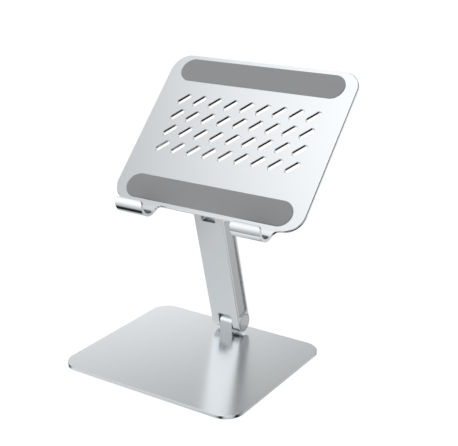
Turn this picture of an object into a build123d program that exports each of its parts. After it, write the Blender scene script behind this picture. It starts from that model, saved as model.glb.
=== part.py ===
from build123d import *
import os

# Desk stand for a laptop: a flat base plate, one arm between two friction hinges, and a slotted
# tray with two curled hooks.  Millimetres and degrees.  The origin is on the desk, under the
# middle of the base.  +X is to the user's right, +Y is away from the user and +Z is up.

# ---------------------------------------------------------------- driving dimensions
# Base plate and the anti-slip sheet that it stands on
base_width = 212.5
base_depth = 180.5
base_thickness = 3.5
base_corner_radius = 20.0
base_chamfer = 0.4
base_pad_margin = 7.0
base_pad_height = 1.0

# Pose of the stand: how far the arm leans forward, and how steep the tray is
arm_lean = 14.4
tray_tilt = 45.85
hinge_from_back_edge = 17.5

# Hinge blocks: the same aluminium knuckle on the base and on the tray
hinge_height = 12.85
block_width = 15.6
block_radius = 10.2

# Arm
arm_pitch = 146.0
arm_width = 35.4
arm_radius = 10.2
arm_chamfer = 0.4
notch_width = 16.8
notch_depth = 13.5
notch_corner_radius = 1.5
channel_width = 14.9
channel_depth = 1.7
channel_end_from_axis = 10.7
channel_corner_radius = 2.5
channel_rim_chamfer = 0.5

# Hinge pin, its hexagonal head and the hardware on it
pin_radius = 4.0
running_clearance = 0.05
pin_chamfer = 0.6
ear_wall_left = 3.0
ear_wall_right = 2.2
head_across_flats = 12.0
head_height = 3.2
head_key_clearance = 0.1
socket_across_flats = 5.0
socket_depth = 2.0
nut_across_flats = 13.0
nut_height = 3.5
nut_pocket_radius = 7.9
spring_radius = 7.0
spring_thickness = 0.5
spring_cone_height = 0.3
friction_washer_radius = 8.5

# Round covers that close the ends of each hinge bore
cap_radius = 9.45
cap_thickness = 1.6
cap_chamfer = 0.25
cap_recess_clearance = 0.3

# Countersunk screws that hold each hinge block to its plate
screw_spacing = 11.0
screw_radius = 2.0
screw_head_radius = 3.8
screw_head_height = 2.0
screw_depth_in_block = 6.5
screw_tip_gap = 1.0
screw_socket_across_flats = 2.5
screw_socket_depth = 1.2
screw_hole_clearance = 0.15

# Tray sheet
tray_width = 230.0
tray_length = 186.6
tray_thickness = 3.0
tray_corner_radius = 21.0
tray_rim_chamfer = 0.6
tray_back_chamfer = 0.4
hinge_from_tray_top = 168.5

# Slanted vent slots: 4 rows of 9
slot_columns = 9
slot_rows = 4
slot_pitch = 20.0
slot_length = 18.1
slot_width = 6.1
slot_slant = 45.0
slot_grid_from_top = 87.2
slot_chamfer = 0.25

# Hooks, curled up from the tray's own sheet, and the soft liner in each
hook_width = 34.2
hook_centre = 70.4
hook_start_from_tray_end = 1.4
hook_lead_radius = 14.4
hook_lead_turn = 60.0
hook_tip_radius = 10.35
hook_turn = 163.0
hook_lip_corner_radius = 4.5
hook_inner_fillet = 5.0
liner_thickness = 1.0
liner_side_margin = 1.5
liner_start_turn = 31.0
liner_end_turn = 150.0
liner_gap = 0.02

# Soft pads on the tray's face
pad_length = 201.4
pad_width = 28.0
pad_thickness = 1.0
pad_edge_radius = 0.4
upper_pad_from_top = 19.4
lower_pad_from_top = 168.1

# ---------------------------------------------------------------- derived places
base_top = base_pad_height + base_thickness
ear_inner = notch_width / 2
ear_outer = arm_width / 2
cap_floor = ear_outer - cap_thickness
pin_hole_radius = pin_radius + running_clearance
tray_front = hinge_height + tray_thickness
tray_top_y = hinge_from_tray_top
tray_end_y = hinge_from_tray_top - tray_length

# The hook's bend is a wide arc that runs into a tighter one.  Its turn is counted from the
# tray's own plane, and each arc's centre is a (Y, Z) point in the tray's frame.
hook_start_y = tray_end_y - hook_start_from_tray_end
lead_centre = Vector(hook_start_y, tray_front + hook_lead_radius)
lead_to_tip = Vector(hook_tip_radius - hook_lead_radius, 0).rotate(Axis.Z, 90.0 - hook_lead_turn)
tip_centre = lead_centre + lead_to_tip

# Each frame has its origin on a hinge axis.  In the arm's frame +Z runs up the arm.  In the
# tray's frame +Y runs up the tray and +Z leaves its face.
lower_axis = Pos(0, base_depth / 2 - hinge_from_back_edge, base_top + hinge_height)
arm_frame = lower_axis * Rot(arm_lean, 0, 0)
upper_axis = arm_frame * Pos(0, 0, arm_pitch) * Rot(-arm_lean, 0, 0)
tray_frame = upper_axis * Rot(tray_tilt, 0, 0)
base_block_frame = lower_axis
tray_block_frame = tray_frame * Rot(180, 0, 0)
lower_hinge_frame = arm_frame
upper_hinge_frame = arm_frame * Pos(0, 0, arm_pitch) * Rot(180, 0, 0)


# ---------------------------------------------------------------- shared shapes
def x_cylinder(radius, x_low, x_high):
    """A cylinder along the hinge axis."""
    disc = Plane.YZ.offset(x_low) * Circle(radius)
    return extrude(disc, amount=x_high - x_low)


def x_hexagon(across_flats, x_low, x_high):
    """A hexagonal prism along the hinge axis."""
    hexagon = Plane.YZ.offset(x_low) * RegularPolygon(across_flats / 2, 6, major_radius=False)
    return extrude(hexagon, amount=x_high - x_low)


def x_ring(outer_radius, inner_radius, x_low, x_high):
    """A flat washer on the hinge axis."""
    return x_cylinder(outer_radius, x_low, x_high) - x_cylinder(inner_radius, x_low, x_high)


def screw_places():
    """The two screws of a hinge block, in line across the hinge axis."""
    return [Pos(0, side * screw_spacing / 2, -hinge_height) for side in (-1, 1)]


def screw_holes(plate_thickness):
    """Countersunk clearance holes through the plate that a hinge block stands on."""
    shank = screw_radius + screw_hole_clearance
    head = screw_head_radius + screw_hole_clearance
    cone_height = screw_head_height + screw_hole_clearance
    hole = Pos(0, 0, -plate_thickness / 2) * Cylinder(shank, plate_thickness)
    cone = Pos(0, 0, -plate_thickness + cone_height / 2) * Cone(head, shank, cone_height)
    cutter = Part()
    for place in screw_places():
        cutter += place * hole + place * cone
    return cutter


def bent_strip(centre, inner_radius, outer_radius, start_turn, end_turn):
    """A part of a ring, seen along X."""
    sweep = start_turn - end_turn
    outer = CenterArc(centre, outer_radius, 270.0 - start_turn, sweep)
    inner = CenterArc(centre, inner_radius, 270.0 - start_turn, sweep)
    ends = [Line(outer @ 0, inner @ 0), Line(outer @ 1, inner @ 1)]
    return Plane.YZ * make_face([outer, inner] + ends)


def curled_sheet(inner_offset, outer_offset, start_turn, end_turn, width):
    """Sheet along the hook's bend, between two offsets outward from the hook's inner face."""
    lead_end = min(end_turn, hook_lead_turn)
    lead = bent_strip(
        lead_centre,
        hook_lead_radius + inner_offset,
        hook_lead_radius + outer_offset,
        start_turn,
        lead_end,
    )
    sheet = extrude(lead, amount=width / 2, both=True)
    if end_turn > hook_lead_turn:
        tip = bent_strip(
            tip_centre,
            hook_tip_radius + inner_offset,
            hook_tip_radius + outer_offset,
            hook_lead_turn,
            end_turn,
        )
        sheet += extrude(tip, amount=width / 2, both=True)
    return sheet


# ---------------------------------------------------------------- base
def make_base_plate():
    outline = RectangleRounded(base_width, base_depth, base_corner_radius)
    plate = Pos(0, 0, base_pad_height) * extrude(outline, amount=base_thickness)
    rims = plate.faces().sort_by(Axis.Z)[-1].edges() + plate.faces().sort_by(Axis.Z)[0].edges()
    plate = chamfer(rims, base_chamfer)
    return plate - base_block_frame * screw_holes(base_thickness)


def make_base_pad():
    outline = RectangleRounded(
        base_width - 2 * base_pad_margin,
        base_depth - 2 * base_pad_margin,
        base_corner_radius - base_pad_margin,
    )
    return extrude(outline, amount=base_pad_height)


# ---------------------------------------------------------------- hinge blocks and screws
def make_hinge_block():
    """A knuckle with a flat foot and a round top, in the frame of its own hinge axis."""
    foot = Pos(0, 0, -hinge_height / 2) * Box(block_width, 2 * block_radius, hinge_height)
    block = foot + x_cylinder(block_radius, -block_width / 2, block_width / 2)
    block -= x_cylinder(pin_hole_radius, -block_width, block_width)
    thread_depth = screw_depth_in_block + screw_tip_gap
    for place in screw_places():
        block -= place * Pos(0, 0, thread_depth / 2) * Cylinder(screw_radius, thread_depth)
    return block


def make_block_screws(plate_thickness):
    """Two countersunk screws, heads just below the plate's far face."""
    head_face = -plate_thickness + screw_hole_clearance
    shank_length = screw_depth_in_block - head_face
    shank = Pos(0, 0, head_face + shank_length / 2) * Cylinder(screw_radius, shank_length)
    head = Cone(screw_head_radius, screw_radius, screw_head_height)
    screw = shank + Pos(0, 0, head_face + screw_head_height / 2) * head
    hexagon = RegularPolygon(screw_socket_across_flats / 2, 6, major_radius=False)
    screw -= Pos(0, 0, head_face) * extrude(hexagon, amount=screw_socket_depth)
    screws = Part()
    for place in screw_places():
        screws += place * screw
    return screws


# ---------------------------------------------------------------- arm
def make_channel():
    """The cutter for the channel in the arm's right side."""
    length = arm_pitch - 2 * channel_end_from_axis
    middle = Plane.YZ * Pos(0, arm_pitch / 2)
    outline = middle * RectangleRounded(channel_width, length, channel_corner_radius)
    floor = ear_outer - channel_depth
    channel = Pos(floor, 0, 0) * extrude(outline, amount=channel_depth)
    flare = Pos(ear_outer, 0, 0) * extrude(
        offset(outline, channel_rim_chamfer), amount=-channel_rim_chamfer, taper=45
    )
    return channel + flare


def make_arm():
    """A solid bar with round forked ends and a shallow channel down each side."""
    middle = Pos(0, arm_pitch / 2)
    outline = Plane.YZ * middle * SlotCenterToCenter(arm_pitch, 2 * arm_radius, rotation=90)
    bar = extrude(outline, amount=arm_width / 2, both=True)
    side_faces = bar.faces().filter_by(Axis.X)
    bar = chamfer(side_faces.edges(), arm_chamfer)

    reach = arm_radius + notch_depth
    fork = RectangleRounded(notch_width, 2 * reach, notch_corner_radius)
    fork_cut = extrude(Plane.XZ * Pos(0, notch_depth - reach) * fork, amount=arm_width, both=True)
    channel = make_channel()
    bar -= channel + mirror(channel, about=Plane.YZ)

    head_floor = ear_inner + ear_wall_left
    nut_floor = ear_inner + ear_wall_right
    key = head_across_flats + head_key_clearance
    recess = cap_radius + cap_recess_clearance
    bore = x_cylinder(pin_hole_radius, -arm_width, arm_width)
    bore += x_hexagon(key, -arm_width, -head_floor)
    bore += x_cylinder(nut_pocket_radius, nut_floor, arm_width)
    bore += x_cylinder(recess, cap_floor, arm_width)
    bore += x_cylinder(recess, -arm_width, -cap_floor)
    for end in (Pos(0, 0, 0), Pos(0, 0, arm_pitch) * Rot(180, 0, 0)):
        bar -= end * fork_cut
        bar -= end * bore
    return bar


# ---------------------------------------------------------------- hinge hardware
def make_pin():
    head_floor = ear_inner + ear_wall_left
    tip = ear_inner + ear_wall_right + spring_stack_height() + nut_height
    pin = x_cylinder(pin_radius, -head_floor, tip)
    pin = chamfer(pin.faces().sort_by(Axis.X)[-1].edges(), pin_chamfer)
    pin += x_hexagon(head_across_flats, -head_floor - head_height, -head_floor)
    socket_floor = -head_floor - head_height + socket_depth
    return pin - x_hexagon(socket_across_flats, -ear_outer, socket_floor)


def make_friction_washers():
    """One washer on each side of the hinge block, held against the arm's ears."""
    inner_face = block_width / 2 + running_clearance
    right = x_ring(friction_washer_radius, pin_hole_radius, inner_face, ear_inner)
    return right + mirror(right, about=Plane.YZ)


def spring_stack_height():
    return 2 * (spring_thickness + spring_cone_height)


def make_disc_springs():
    """Two coned disc springs back to back between the ear and the nut."""
    x_start = ear_inner + ear_wall_right
    section = Polygon(
        (x_start + spring_cone_height, pin_hole_radius),
        (x_start + spring_cone_height + spring_thickness, pin_hole_radius),
        (x_start + spring_thickness, spring_radius),
        (x_start, spring_radius),
        align=None,
    )
    spring = revolve(section, Axis.X)
    meeting_plane = Plane.YZ.offset(x_start + spring_cone_height + spring_thickness)
    return spring + mirror(spring, about=meeting_plane)


def make_lock_nut():
    x_start = ear_inner + ear_wall_right + spring_stack_height()
    nut = x_hexagon(nut_across_flats, x_start, x_start + nut_height)
    return nut - x_cylinder(pin_hole_radius, x_start - 1, x_start + nut_height + 1)


def make_cap(side):
    """A round cover, flush with the arm's side: -1 is the left one and 1 the right one."""
    cap = x_cylinder(cap_radius, cap_floor, ear_outer)
    cap = chamfer(cap.faces().sort_by(Axis.X)[-1].edges(), cap_chamfer)
    return cap if side > 0 else mirror(cap, about=Plane.YZ)


# ---------------------------------------------------------------- tray
def make_vent_slots():
    """Cutters for the slanted slots, each wider where it meets the tray's face."""
    grid_y = tray_top_y - slot_grid_from_top
    slot = SlotOverall(slot_length, slot_width, rotation=slot_slant)
    mouth = SlotOverall(
        slot_length + 2 * slot_chamfer, slot_width + 2 * slot_chamfer, rotation=slot_slant
    )
    through = Pos(0, 0, hinge_height) * extrude(slot, amount=tray_thickness)
    flare = loft([
        Pos(0, 0, tray_front - slot_chamfer) * slot,
        Pos(0, 0, tray_front) * mouth,
    ])
    cutter = through + flare
    places = GridLocations(slot_pitch, slot_pitch, slot_columns, slot_rows)
    return [Pos(0, grid_y, 0) * place * cutter for place in places]


def make_hook():
    """One curled hook in the middle of the tray's lower edge, with a fillet at each side."""
    half = hook_width / 2
    outer_fillet = tray_width / 2 - tray_corner_radius - hook_centre - half
    hook = curled_sheet(0, tray_thickness, 0, hook_turn, hook_width)
    lip_edges = hook.edges().filter_by(GeomType.LINE)
    lip_edges = lip_edges.filter_by(lambda edge: abs(edge.length - tray_thickness) < 0.01)
    lip_edges = lip_edges.sort_by(Axis.Z)[-2:]
    hook = fillet(lip_edges, hook_lip_corner_radius)

    web_turn = 35.0
    web_width = half + max(hook_inner_fillet, outer_fillet)
    web = curled_sheet(0, tray_thickness, 0, web_turn, 2 * web_width)
    tab_overlap = 2.0
    tab_length = hook_start_from_tray_end + tab_overlap
    tab_y = hook_start_y + tab_length / 2
    tab_z = hinge_height + tray_thickness / 2
    web += Pos(0, tab_y, tab_z) * Box(2 * web_width, tab_length, tray_thickness)
    for side, radius in ((-1, hook_inner_fillet), (1, outer_fillet)):
        edge_x = side * half
        below = tray_end_y - radius
        spare = 4 * web_width
        web -= Pos(edge_x + side * radius, below, tab_z) * Cylinder(radius, spare)
        web -= Pos(edge_x + side * spare / 2, below - spare / 2, tab_z) * Box(spare, spare, spare)
        beyond = edge_x + side * (radius + spare / 2)
        web -= Pos(beyond, tab_y, tab_z) * Box(spare, spare, spare)
    return hook + web


def make_tray_plate():
    outline = RectangleRounded(tray_width, tray_length, tray_corner_radius)
    centre = Pos(0, tray_top_y - tray_length / 2, hinge_height)
    plate = centre * extrude(outline, amount=tray_thickness)
    plate = chamfer(plate.faces().sort_by(Axis.Z)[-1].edges(), tray_rim_chamfer)
    plate = chamfer(plate.faces().sort_by(Axis.Z)[0].edges(), tray_back_chamfer)
    plate = plate - make_vent_slots()
    plate -= Rot(180, 0, 0) * screw_holes(tray_thickness)
    right_hook = Pos(hook_centre, 0, 0) * make_hook()
    return plate + right_hook + mirror(right_hook, about=Plane.YZ)


def make_tray_pad(from_top):
    outline = SlotOverall(pad_length, pad_width)
    pad = Pos(0, tray_top_y - from_top, tray_front) * extrude(outline, amount=pad_thickness)
    return fillet(pad.faces().sort_by(Axis.Z)[-1].edges(), pad_edge_radius)


def make_hook_liner(side):
    width = hook_width - 2 * liner_side_margin
    liner = curled_sheet(-liner_thickness, -liner_gap, liner_start_turn, liner_end_turn, width)
    return Pos(side * hook_centre, 0, 0) * liner


# ---------------------------------------------------------------- assembly
def hinge_nodes(prefix, frame):
    """The hardware on one hinge pin, which turns with the arm."""
    return {
        prefix + "_hinge_pin": frame * make_pin(),
        prefix + "_friction_washers": frame * make_friction_washers(),
        prefix + "_disc_springs": frame * make_disc_springs(),
        prefix + "_lock_nut": frame * make_lock_nut(),
        prefix + "_cap_left": frame * make_cap(-1),
        prefix + "_cap_right": frame * make_cap(1),
    }


nodes = {
    "base_plate": make_base_plate(),
    "base_pad": make_base_pad(),
    "base_hinge_block": base_block_frame * make_hinge_block(),
    "base_block_screws": base_block_frame * make_block_screws(base_thickness),
    "arm": arm_frame * make_arm(),
    "tray_plate": tray_frame * make_tray_plate(),
    "tray_hinge_block": tray_block_frame * make_hinge_block(),
    "tray_block_screws": tray_block_frame * make_block_screws(tray_thickness),
    "tray_pad_upper": tray_frame * make_tray_pad(upper_pad_from_top),
    "tray_pad_lower": tray_frame * make_tray_pad(lower_pad_from_top),
    "hook_liner_left": tray_frame * make_hook_liner(-1),
    "hook_liner_right": tray_frame * make_hook_liner(1),
}
nodes.update(hinge_nodes("lower", lower_hinge_frame))
nodes.update(hinge_nodes("upper", upper_hinge_frame))

os.makedirs("parts", exist_ok=True)
for node, shape in nodes.items():
    export_step(shape, "parts/" + node + ".step")
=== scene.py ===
import math

import bmesh
import bpy
from mathutils import Matrix, Vector


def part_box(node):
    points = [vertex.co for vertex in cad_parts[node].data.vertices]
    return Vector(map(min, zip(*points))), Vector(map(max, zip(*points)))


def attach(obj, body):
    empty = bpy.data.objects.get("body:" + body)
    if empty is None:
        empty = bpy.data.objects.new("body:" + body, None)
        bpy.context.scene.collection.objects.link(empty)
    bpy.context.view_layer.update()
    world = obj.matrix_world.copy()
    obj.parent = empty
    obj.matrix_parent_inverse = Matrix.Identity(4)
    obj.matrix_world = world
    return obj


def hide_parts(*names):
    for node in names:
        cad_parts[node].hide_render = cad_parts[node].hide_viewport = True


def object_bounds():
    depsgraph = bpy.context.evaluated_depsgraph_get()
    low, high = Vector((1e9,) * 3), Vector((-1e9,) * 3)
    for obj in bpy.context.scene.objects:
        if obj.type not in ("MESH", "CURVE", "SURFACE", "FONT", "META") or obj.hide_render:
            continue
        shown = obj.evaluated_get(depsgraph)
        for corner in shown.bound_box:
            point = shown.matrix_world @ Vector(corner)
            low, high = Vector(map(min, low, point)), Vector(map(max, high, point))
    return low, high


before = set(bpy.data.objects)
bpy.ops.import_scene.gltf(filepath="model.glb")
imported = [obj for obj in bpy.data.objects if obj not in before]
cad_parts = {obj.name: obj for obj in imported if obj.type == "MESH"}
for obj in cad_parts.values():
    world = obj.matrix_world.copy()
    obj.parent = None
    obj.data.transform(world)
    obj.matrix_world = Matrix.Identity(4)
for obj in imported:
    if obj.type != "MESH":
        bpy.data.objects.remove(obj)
cad_low, cad_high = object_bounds()

# A desk stand for a laptop, in satin silver metal with grey rubber pads.  Everything is in
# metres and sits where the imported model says.

MM = 0.001
UP = (0.0, 0.0, 1.0)
ACROSS = (1.0, 0.0, 0.0)

# ---------------------------------------------------------------- camera
CAMERA_PLACE = (0.53489, -0.75920, 0.47573)
CAMERA_AZIMUTH = math.radians(32.8645)
CAMERA_ELEVATION = math.radians(19.2790)
CAMERA_LENS = 77.03
SENSOR_WIDTH = 36.0
CLIP_START = 0.01

# ---------------------------------------------------------------- studio
FLOOR_SIZE = 80.0
FLOOR_GLOW = 0.96
FLOOR_PAINT = 0.10

# The tent's brightness: (elevation in degrees, level), from straight down to straight up
TENT_LEVELS = (
    (-90, 0.60),
    (-55, 0.50),
    (-40, 0.72),
    (-30, 0.92),
    (-20, 1.30),
    (-10, 1.66),
    (0, 1.75),
    (10, 1.70),
    (20, 1.42),
    (25, 1.05),
    (29, 0.52),
    (34, 0.36),
    (41, 0.46),
    (48, 0.60),
    (54, 0.90),
    (60, 1.10),
    (90, 1.30),
)
BRIGHTEST = max(level for elevation, level in TENT_LEVELS)

# Four dark seams, a quarter turn apart.  A seam brightens over SEAM_WAVE, as the sine of twice
# the angle from it, and it ends over SEAM_END, as the sine of the elevation.
SEAM_AZIMUTH = 5.0
SEAM_WAVE = (0.05, 1.0)
SEAM_DEPTH = 0.97
SEAM_END = (0.50, 0.87)

# The walls are brightest towards one azimuth, and darker by twice the swing opposite it
BRIGHT_AZIMUTH = 160.0
BRIGHT_SWING = 0.36

# Soft lamps and dark openings: azimuth, elevation, outer and inner radius in degrees, level
LAMPS = (
    (230.0, 53.0, 26.0, 4.0, 0.36),
    (318.0, -28.0, 38.0, 10.0, 0.40),
)
OPENINGS = (
    (200.0, -52.0, 19.0, 4.0, 0.03),
    (44.0, -60.0, 24.0, 12.0, 0.0),
    (138.0, -4.0, 15.0, 6.0, 0.12),
)

# ---------------------------------------------------------------- colours
SILVER = [0.80, 0.825, 0.845]
# The same silver painted lighter, as painted light on the arm
PAINTED_LIGHTER_SILVER = [0.91, 0.93, 0.945]
CAP_SILVER = [0.71, 0.73, 0.75]
STEEL = [0.58, 0.57, 0.55]
DARK_STEEL = [0.36, 0.35, 0.34]
BLACK = [0.05, 0.05, 0.05]
PAD_GREY = [0.365, 0.375, 0.385]
LINER_GREY = [0.16, 0.165, 0.17]
SOLE_BLACK = [0.045, 0.045, 0.048]


# ---------------------------------------------------------------- node helpers
class Nodes:
    """A short way to build a node tree."""

    def __init__(self, tree):
        self.tree = tree
        tree.nodes.clear()

    def add(self, kind, values=(), **settings):
        node = self.tree.nodes.new(kind)
        for name, value in settings.items():
            setattr(node, name, value)
        for name, value in dict(values).items():
            self.put(node.inputs[name], value)
        return node

    def put(self, socket, value):
        """Links an output to the socket, or sets the socket's own value."""
        if isinstance(value, bpy.types.NodeSocket):
            self.tree.links.new(value, socket)
        else:
            socket.default_value = value

    def math(self, operation, first, second=0.0):
        node = self.add("ShaderNodeMath", operation=operation)
        self.put(node.inputs[0], first)
        self.put(node.inputs[1], second)
        return node.outputs[0]

    def vector_math(self, operation, first, second):
        node = self.add("ShaderNodeVectorMath", operation=operation)
        self.put(node.inputs[0], first)
        self.put(node.inputs[1], second)
        return node

    def scaled(self, vector, factor):
        """A vector or colour times a number."""
        node = self.add("ShaderNodeVectorMath", operation="SCALE")
        self.put(node.inputs[0], vector)
        self.put(node.inputs["Scale"], factor)
        return node.outputs["Vector"]

    def dot(self, vector, direction):
        return self.vector_math("DOT_PRODUCT", vector, direction).outputs["Value"]

    def remap(self, value, low, high, to_low, to_high):
        """A smooth step from to_low at low to to_high at high."""
        node = self.add("ShaderNodeMapRange", interpolation_type="SMOOTHSTEP")
        names = ("Value", "From Min", "From Max", "To Min", "To Max")
        for name, given in zip(names, (value, low, high, to_low, to_high)):
            self.put(node.inputs[name], given)
        return node.outputs["Result"]

    def noise(self, place, feature_size, detail):
        """Noise whose features are about feature_size metres across."""
        node = self.add("ShaderNodeTexNoise", {
            "Vector": place,
            "Scale": 1.0 / feature_size,
            "Detail": detail,
        })
        return node.outputs["Fac"]

    def colour_mix(self, factor, first, second):
        """The first colour where factor is 0, and the second where it is 1."""
        node = self.add("ShaderNodeMix", data_type="RGBA")
        self.put(node.inputs["Factor"], factor)
        node.inputs["A"].default_value = (*first, 1.0)
        node.inputs["B"].default_value = (*second, 1.0)
        return node.outputs["Result"]


def new_material(name):
    material = bpy.data.materials.new(name)
    material.use_nodes = True
    return material, Nodes(material.node_tree)


def close_material(nodes, shader):
    nodes.add("ShaderNodeOutputMaterial", {"Surface": shader.outputs[0]})


def set_material(obj, material):
    obj.data.materials.clear()
    obj.data.materials.append(material)


def toned(colour, factor):
    """A lighter or darker colour, no brighter than white."""
    return [min(channel * factor, 1.0) for channel in colour]


# ---------------------------------------------------------------- metals
# The range of noise that a tone or a roughness follows, and the height of any bump
MIDDLE_NOISE = (0.3, 0.7)
METAL_RELIEF = 0.02 * MM

GRAIN = 0.45 * MM
GRAIN_DETAIL = 3.0
GRAIN_TONES = (0.975, 1.015)
GRAIN_BUMP = 0.05
SOFT_EDGE_RADIUS = 0.3 * MM
SOFT_EDGE_SAMPLES = 6

# A face becomes a broad one as its normal's share along the broad direction rises over this
BROAD_FACING = (0.85, 0.99)

# Painted shade: broad faces are darker by SIDE_SHADE, and those deeper than the given depth by
# the recess amount more, as shade in the channel
SIDE_SHADE = 0.06
RECESS_PAINTED_SHADE = 0.30
RECESS_SHADE_DEPTH = (0.55 * MM, 0.65 * MM)

RING_PITCH = 0.35 * MM
RING_DETAIL = 2.0
RING_TONE = 0.96
RING_BUMP = 0.12
RING_ROUGHNESS_SWING = 0.03

# Painted shadow of the gap round a disc: how far inside its edge the dark rim starts,
# and where it is full
RIM_SHADOW_INSETS = (0.40 * MM, 0.20 * MM)
RIM_SHADOW_TONE = 0.25

# Patches of dirt: the noise over which they darken, and over which they roughen the steel
DIRT_SIZE = 2.5 * MM
DIRT_DETAIL = 4.0
DIRT_DARKENS = (0.45, 0.75)
DIRT_ROUGHENS = (0.3, 0.8)
DIRT_TONE = 0.45
DIRT_ROUGHNESS = 0.2


def blasted_metal(name, colour, face_normal, roughness, edge_roughness, recess=None):
    """Fine blasted metal on the broad faces, and smoother metal on the rest, with soft edges.

    face_normal is the direction that the broad faces look in at rest.  recess is how far from
    the middle plane the outer faces are: broad faces get painted shade, most where they lie
    deeper.
    """
    material, nodes = new_material(name)
    place = nodes.add("ShaderNodeTexCoord")
    facing = nodes.math("ABSOLUTE", nodes.dot(place.outputs["Normal"], face_normal))
    broad = nodes.remap(facing, *BROAD_FACING, 0.0, 1.0)
    speckle = nodes.noise(place.outputs["Object"], GRAIN, GRAIN_DETAIL)
    dull = nodes.add("ShaderNodeMix", {"Factor": broad}, data_type="FLOAT")
    nodes.put(dull.inputs["A"], edge_roughness)
    nodes.put(dull.inputs["B"], roughness)
    darker, lighter = [toned(colour, tone) for tone in GRAIN_TONES]
    tint = nodes.colour_mix(nodes.remap(speckle, *MIDDLE_NOISE, 0.0, 1.0), darker, lighter)
    # Painted shade on the broad faces, deepest in the side channel
    if recess is not None:
        tint = painted_shade_tint(nodes, place, tint, broad, recess)
    soft_edge = nodes.add(
        "ShaderNodeBevel", {"Radius": SOFT_EDGE_RADIUS}, samples=SOFT_EDGE_SAMPLES
    )
    bump = nodes.add("ShaderNodeBump", {
        "Height": speckle,
        "Strength": nodes.math("MULTIPLY", broad, GRAIN_BUMP),
        "Distance": METAL_RELIEF,
        "Normal": soft_edge.outputs["Normal"],
    })
    shader = nodes.add("ShaderNodeBsdfPrincipled", {
        "Base Color": tint,
        "Metallic": 1.0,
        "Roughness": dull.outputs["Result"],
        "Normal": bump.outputs["Normal"],
    })
    close_material(nodes, shader)
    return material


def painted_shade_tint(nodes, place, tint, broad, recess):
    """Painted shade: darkens the broad faces, most of all those that lie below the outer ones."""
    parts = nodes.add("ShaderNodeSeparateXYZ", {"Vector": place.outputs["Object"]})
    from_middle = nodes.math("ABSOLUTE", parts.outputs["X"])
    depth = nodes.math("SUBTRACT", recess, from_middle)
    channel_shade = nodes.remap(depth, *RECESS_SHADE_DEPTH, 0.0, RECESS_PAINTED_SHADE)
    shade = nodes.math("MULTIPLY", nodes.math("ADD", channel_shade, SIDE_SHADE), broad)
    return nodes.scaled(tint, nodes.math("SUBTRACT", 1.0, shade))


def turned_metal(name, colour, centre, disc_radius, roughness):
    """A disc faced on a lathe: faint rings round an axis along X, and a painted gap shadow at its
    rim.
    """
    material, nodes = new_material(name)
    place = nodes.add("ShaderNodeTexCoord")
    offset = nodes.vector_math("SUBTRACT", place.outputs["Object"], centre)
    flat = nodes.vector_math("MULTIPLY", offset.outputs["Vector"], (0.0, 1.0, 1.0))
    length = nodes.add("ShaderNodeVectorMath", operation="LENGTH")
    nodes.put(length.inputs[0], flat.outputs["Vector"])
    from_axis = length.outputs["Value"]
    ring_line = nodes.add("ShaderNodeCombineXYZ", {"X": from_axis})
    rings = nodes.noise(ring_line.outputs["Vector"], RING_PITCH, RING_DETAIL)
    face = nodes.colour_mix(rings, toned(colour, RING_TONE), colour)
    # A painted shadow of the gap round the disc, darkest at its edge
    shadow_start, shadow_full = [disc_radius - inset for inset in RIM_SHADOW_INSETS]
    rim = nodes.remap(from_axis, shadow_start, shadow_full, 1.0, RIM_SHADOW_TONE)
    bump = nodes.add("ShaderNodeBump", {
        "Height": rings,
        "Strength": RING_BUMP,
        "Distance": METAL_RELIEF,
    })
    shader = nodes.add("ShaderNodeBsdfPrincipled", {
        "Base Color": nodes.scaled(face, rim),
        "Metallic": 1.0,
        "Roughness": nodes.remap(
            rings,
            *MIDDLE_NOISE,
            roughness - RING_ROUGHNESS_SWING,
            roughness + RING_ROUGHNESS_SWING,
        ),
        "Normal": bump.outputs["Normal"],
    })
    close_material(nodes, shader)
    return material


def machine_steel(name, colour, roughness, grime):
    """Plain steel hardware with a thin film of dirt in patches."""
    material, nodes = new_material(name)
    place = nodes.add("ShaderNodeTexCoord")
    patches = nodes.noise(place.outputs["Object"], DIRT_SIZE, DIRT_DETAIL)
    dirt = nodes.remap(patches, *DIRT_DARKENS, 0.0, grime)
    shader = nodes.add("ShaderNodeBsdfPrincipled", {
        "Base Color": nodes.colour_mix(dirt, colour, toned(colour, DIRT_TONE)),
        "Metallic": 1.0,
        "Roughness": nodes.remap(
            patches, *DIRT_ROUGHENS, roughness, roughness + DIRT_ROUGHNESS
        ),
    })
    close_material(nodes, shader)
    return material


# ---------------------------------------------------------------- rubber
STIPPLE = 0.35 * MM
STIPPLE_SHARE = 0.6
STIPPLE_BUMP = 0.25
STIPPLE_RELIEF = 0.05 * MM
DUST_SIZE = 18 * MM
RUBBER_DETAIL = 3.0
RUBBER_TONES = (0.90, 1.10)
RUBBER_ROUGHNESS_SWING = 0.04
RUBBER_SPECULAR = 0.25


def moulded_rubber(name, colour, roughness):
    """Matte silicone rubber with a very fine moulded stipple and faint dust."""
    material, nodes = new_material(name)
    place = nodes.add("ShaderNodeTexCoord")
    pores = nodes.noise(place.outputs["Object"], STIPPLE, RUBBER_DETAIL)
    dust = nodes.noise(place.outputs["Object"], DUST_SIZE, RUBBER_DETAIL)
    mottle = nodes.math(
        "ADD",
        nodes.math("MULTIPLY", pores, STIPPLE_SHARE),
        nodes.math("MULTIPLY", dust, 1.0 - STIPPLE_SHARE),
    )
    darker, lighter = [toned(colour, tone) for tone in RUBBER_TONES]
    bump = nodes.add("ShaderNodeBump", {
        "Height": pores,
        "Strength": STIPPLE_BUMP,
        "Distance": STIPPLE_RELIEF,
    })
    shader = nodes.add("ShaderNodeBsdfPrincipled", {
        "Base Color": nodes.colour_mix(mottle, darker, lighter),
        "Roughness": nodes.remap(
            dust,
            *MIDDLE_NOISE,
            roughness - RUBBER_ROUGHNESS_SWING,
            roughness + RUBBER_ROUGHNESS_SWING,
        ),
        "Specular IOR Level": RUBBER_SPECULAR,
        "Normal": bump.outputs["Normal"],
    })
    close_material(nodes, shader)
    return material


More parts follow.
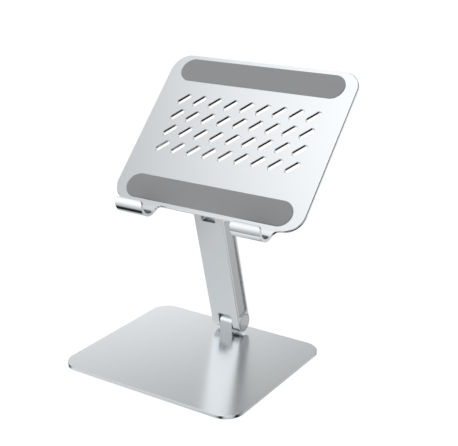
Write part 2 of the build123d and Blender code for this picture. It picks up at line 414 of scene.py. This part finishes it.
# ---------------------------------------------------------------- places from the frame
def broad_normal(node):
    """The outward direction of a node's largest flat area."""
    areas = {}
    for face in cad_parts[node].data.polygons:
        key = tuple(round(c, 3) for c in face.normal)
        areas[key] = areas.get(key, 0.0) + face.area
    return Vector(max(areas, key=areas.get)).normalized()


def tray_face_normal():
    """The way the tray's face looks: up and towards the user."""
    normal = broad_normal("tray_plate")
    return normal if normal.z > 0 else -normal


def box_centre(node):
    low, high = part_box(node)
    return (low + high) / 2


def half_height(node):
    low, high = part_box(node)
    return (high.z - low.z) / 2


def sheet_frame(node, normal):
    """A frame at the middle of a flat node: X across, Y up the sheet and Z out of its face."""
    across = Vector(ACROSS)
    up_sheet = normal.cross(across)
    turn = Matrix((across, up_sheet, normal)).transposed().to_4x4()
    return Matrix.Translation(box_centre(node)) @ turn


def extents_in(matrix, node):
    """A node's lowest and highest places along the axes of a frame."""
    inverse = matrix.inverted()
    points = [inverse @ v.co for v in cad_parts[node].data.vertices]
    lows = [min(p[i] for p in points) for i in range(3)]
    highs = [max(p[i] for p in points) for i in range(3)]
    return Vector(lows), Vector(highs)


# ---------------------------------------------------------------- replaced rubber pieces
ROUND_STEPS = 32
SHOULDER_STEPS = 5
SHOULDER_RADIUS = 0.45 * MM
CROWN_HEIGHT = 0.06 * MM
CROWN_SHARES = (0.25, 0.5, 0.75)
PAD_SHARP_ANGLE = math.radians(40)

ROUNDED_EDGE = 0.3 * MM
ROUNDED_SEGMENTS = 4
ROUNDED_ANGLE = math.radians(35)
SAME_POINT = 0.001 * MM
SAME_PLANE = math.radians(1.0)


def stadium(half_length, radius, inset):
    """Points round a slot shape, moved inwards by inset."""
    reach = radius - inset
    straight = half_length - radius
    points = []
    for side in (1, -1):
        for step in range(ROUND_STEPS + 1):
            angle = side * math.pi / 2 - math.pi * step / ROUND_STEPS
            points.append((side * straight + reach * math.cos(angle), reach * math.sin(angle)))
    return points


def pad_rings(low, high):
    """Rings of a moulded pad: straight wall, round shoulder, then a faintly crowned top."""
    half_length = (high.x - low.x) / 2
    radius = (high.y - low.y) / 2
    top = high.z - CROWN_HEIGHT
    rings = [(stadium(half_length, radius, 0.0), low.z)]
    for step in range(SHOULDER_STEPS + 1):
        angle = math.pi / 2 * step / SHOULDER_STEPS
        inset = SHOULDER_RADIUS * (1 - math.cos(angle))
        height = top - SHOULDER_RADIUS * (1 - math.sin(angle))
        rings.append((stadium(half_length, radius, inset), height))
    for share in CROWN_SHARES:
        inset = SHOULDER_RADIUS + (radius - SHOULDER_RADIUS) * share
        height = top + CROWN_HEIGHT * math.sin(math.pi / 2 * share)
        rings.append((stadium(half_length, radius, inset), height))
    return rings


def smooth_faces(data):
    for face in data.polygons:
        face.use_smooth = True


def lofted_pad(name, matrix, rings):
    """A closed piece through rings of (outline points, height), with a flat bottom and top."""
    mesh = bmesh.new()
    loops = [[mesh.verts.new((x, y, height)) for x, y in outline] for outline, height in rings]
    for lower, upper in zip(loops, loops[1:]):
        for index, vertex in enumerate(lower):
            following = (index + 1) % len(lower)
            mesh.faces.new((vertex, lower[following], upper[following], upper[index]))
    mesh.faces.new(loops[0][::-1])
    mesh.faces.new(loops[-1])
    bmesh.ops.recalc_face_normals(mesh, faces=mesh.faces)
    data = bpy.data.meshes.new(name)
    mesh.to_mesh(data)
    mesh.free()
    data.transform(matrix)
    smooth_faces(data)
    data.set_sharp_from_angle(angle=PAD_SHARP_ANGLE)
    piece = bpy.data.objects.new(name, data)
    bpy.context.scene.collection.objects.link(piece)
    return piece


def rounded_copy(name, node):
    """A copy of a CAD solid with its edges rounded."""
    piece = bpy.data.objects.new(name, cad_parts[node].data.copy())
    bpy.context.scene.collection.objects.link(piece)
    mesh = bmesh.new()
    mesh.from_mesh(piece.data)
    bmesh.ops.remove_doubles(mesh, verts=mesh.verts, dist=SAME_POINT)
    bmesh.ops.dissolve_limit(mesh, angle_limit=SAME_PLANE, verts=mesh.verts, edges=mesh.edges)
    mesh.to_mesh(piece.data)
    mesh.free()
    bevel = piece.modifiers.new("round_edges", "BEVEL")
    bevel.width = ROUNDED_EDGE
    bevel.segments = ROUNDED_SEGMENTS
    bevel.limit_method = "ANGLE"
    bevel.angle_limit = ROUNDED_ANGLE
    bevel.harden_normals = True
    smooth_faces(piece.data)
    return piece


def finish_rubber(piece, node, body, material):
    set_material(piece, material)
    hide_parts(node)
    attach(piece, body)


def tray_pad(name, node, normal, material):
    matrix = sheet_frame(node, normal)
    piece = lofted_pad(name, matrix, pad_rings(*extents_in(matrix, node)))
    finish_rubber(piece, node, "tray", material)


# ---------------------------------------------------------------- studio
def direction_vector(azimuth, elevation):
    """A unit vector from angles in degrees, with azimuth counted from +X towards +Y."""
    turn, rise = math.radians(azimuth), math.radians(elevation)
    level = math.cos(rise)
    return Vector((level * math.cos(turn), level * math.sin(turn), math.sin(rise)))


def tent_ramp(nodes, sine):
    """The tent's grey by elevation, from 0 to 1, given the sine of the elevation."""
    height = nodes.math("ADD", nodes.math("MULTIPLY", sine, 0.5), 0.5)
    ramp = nodes.add("ShaderNodeValToRGB", {"Fac": height})
    stops = ramp.color_ramp.elements
    starting_stops = len(stops)
    for index, (elevation, level) in enumerate(TENT_LEVELS):
        stop = stops[index] if index < starting_stops else stops.new(1.0)
        stop.position = (math.sin(math.radians(elevation)) + 1) / 2
        grey = level / BRIGHTEST
        stop.color = (grey, grey, grey, 1.0)
    return ramp.outputs["Color"]


def tent_walls(nodes, parts):
    """How bright the walls are by azimuth: dark seams, and one side brighter than the other."""
    turn = nodes.math("ARCTAN2", parts.outputs["Y"], parts.outputs["X"])
    above_seams = nodes.remap(parts.outputs["Z"], *SEAM_END, 0.0, 1.0)

    from_seam = nodes.math("SUBTRACT", turn, math.radians(SEAM_AZIMUTH))
    sine = nodes.math("SINE", nodes.math("MULTIPLY", from_seam, 2.0))
    seam = nodes.remap(nodes.math("ABSOLUTE", sine), *SEAM_WAVE, 1.0 - SEAM_DEPTH, 1.0)
    missing = nodes.math("SUBTRACT", 1.0, seam)
    seam = nodes.math("ADD", seam, nodes.math("MULTIPLY", above_seams, missing))

    from_bright = nodes.math("SUBTRACT", turn, math.radians(BRIGHT_AZIMUTH))
    swing = nodes.math("MULTIPLY", nodes.math("COSINE", from_bright), BRIGHT_SWING)
    side = nodes.math("ADD", swing, 1.0 - BRIGHT_SWING)
    side = nodes.math("MAXIMUM", side, above_seams)
    return nodes.math("MULTIPLY", seam, side)


def round_patch(nodes, direction, shape, outside, inside):
    """A round patch whose level changes from its outer radius to its inner one."""
    azimuth, elevation, outer_radius, inner_radius = shape
    towards = nodes.dot(direction, direction_vector(azimuth, elevation))
    rim, core = [math.cos(math.radians(angle)) for angle in (outer_radius, inner_radius)]
    return nodes.remap(towards, rim, core, outside, inside)


def make_world():
    """A photographer's tent with dark seams, soft lamps and dark openings."""
    world = bpy.data.worlds.new("studio")
    bpy.context.scene.world = world
    world.use_nodes = True
    nodes = Nodes(world.node_tree)
    direction = nodes.add("ShaderNodeTexCoord").outputs["Generated"]
    parts = nodes.add("ShaderNodeSeparateXYZ", {"Vector": direction})
    walls = tent_walls(nodes, parts)
    level = nodes.math("MULTIPLY", walls, tent_ramp(nodes, parts.outputs["Z"]))
    level = nodes.math("MULTIPLY", level, BRIGHTEST)
    for *shape, inside in OPENINGS:
        patch = round_patch(nodes, direction, shape, 1.0, inside)
        level = nodes.math("MULTIPLY", level, patch)
    for *shape, inside in LAMPS:
        patch = round_patch(nodes, direction, shape, 0.0, inside)
        level = nodes.math("ADD", level, patch)
    background = nodes.add("ShaderNodeBackground", {
        "Color": (1.0, 1.0, 1.0, 1.0),
        "Strength": level,
    })
    nodes.add("ShaderNodeOutputWorld", {"Surface": background.outputs[0]})


def make_floor():
    """A pale table top.  The metal mirrors the tent instead of it."""
    bpy.ops.mesh.primitive_plane_add(size=FLOOR_SIZE, location=(0, 0, cad_low.z))
    floor = bpy.context.object
    floor.name = "floor"
    material, nodes = new_material("pale_floor")
    glow = nodes.add("ShaderNodeEmission", {"Strength": FLOOR_GLOW})
    paint = nodes.add("ShaderNodeBsdfDiffuse", {"Color": (FLOOR_PAINT,) * 3 + (1.0,)})
    pale = nodes.add("ShaderNodeAddShader")
    nodes.put(pale.inputs[0], glow.outputs[0])
    nodes.put(pale.inputs[1], paint.outputs[0])
    close_material(nodes, pale)
    set_material(floor, material)
    floor.visible_glossy = False
    floor.visible_shadow = False


def make_camera():
    data = bpy.data.cameras.new("camera")
    data.lens = CAMERA_LENS
    data.sensor_width = SENSOR_WIDTH
    data.clip_start = CLIP_START
    camera = bpy.data.objects.new("camera", data)
    camera.location = CAMERA_PLACE
    camera.rotation_euler = (math.pi / 2 - CAMERA_ELEVATION, 0.0, CAMERA_AZIMUTH)
    bpy.context.scene.collection.objects.link(camera)
    bpy.context.scene.camera = camera


make_camera()
make_world()
make_floor()
bpy.context.scene.view_settings.view_transform = "Standard"

# ---------------------------------------------------------------- the stand's own surfaces
tray_normal = tray_face_normal()
arm_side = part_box("arm")[1].x
block_metal = blasted_metal(
    "block_metal", SILVER, ACROSS, roughness=0.22, edge_roughness=0.16
)
hardware_steel = machine_steel("hardware_steel", STEEL, roughness=0.28, grime=0.5)
spring_steel = machine_steel("spring_steel", DARK_STEEL, roughness=0.35, grime=0.6)
friction_liner = moulded_rubber("friction_liner", BLACK, roughness=0.6)

NODE_MATERIALS = {
    "base_plate": blasted_metal(
        "base_metal", SILVER, UP, roughness=0.21, edge_roughness=0.12
    ),
    "tray_plate": blasted_metal(
        "tray_metal", SILVER, tuple(tray_normal), roughness=0.28, edge_roughness=0.15
    ),
    # The arm: its silver painted lighter as painted light, with painted shade on its sides
    "arm": blasted_metal(
        "arm_metal", PAINTED_LIGHTER_SILVER, ACROSS, roughness=0.24, edge_roughness=0.26, recess=arm_side
    ),
    "base_hinge_block": block_metal,
    "tray_hinge_block": block_metal,
    "base_block_screws": hardware_steel,
    "tray_block_screws": hardware_steel,
}
for hinge in ("lower", "upper"):
    cap = hinge + "_cap_right"
    cap_metal = turned_metal(
        hinge + "_cap_metal", CAP_SILVER, tuple(box_centre(cap)), half_height(cap), roughness=0.24
    )
    NODE_MATERIALS[hinge + "_cap_left"] = cap_metal
    NODE_MATERIALS[hinge + "_cap_right"] = cap_metal
    NODE_MATERIALS[hinge + "_hinge_pin"] = hardware_steel
    NODE_MATERIALS[hinge + "_lock_nut"] = hardware_steel
    NODE_MATERIALS[hinge + "_disc_springs"] = spring_steel
    NODE_MATERIALS[hinge + "_friction_washers"] = friction_liner
for node, material in NODE_MATERIALS.items():
    set_material(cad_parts[node], material)

# ---------------------------------------------------------------- the stand's rubber
pad_rubber = moulded_rubber("pad_rubber", PAD_GREY, roughness=0.62)
liner_rubber = moulded_rubber("liner_rubber", LINER_GREY, roughness=0.55)
sole_rubber = moulded_rubber("base_rubber", SOLE_BLACK, roughness=0.7)

tray_pad("upper_rest_pad", "tray_pad_upper", tray_normal, pad_rubber)
tray_pad("lower_rest_pad", "tray_pad_lower", tray_normal, pad_rubber)
for side in ("left", "right"):
    node = "hook_liner_" + side
    liner = rounded_copy(side + "_hook_lining", node)
    finish_rubber(liner, node, "tray", liner_rubber)
sole = rounded_copy("desk_sole", "base_pad")
finish_rubber(sole, "base_pad", "base", sole_rubber)

bpy.context.view_layer.update()
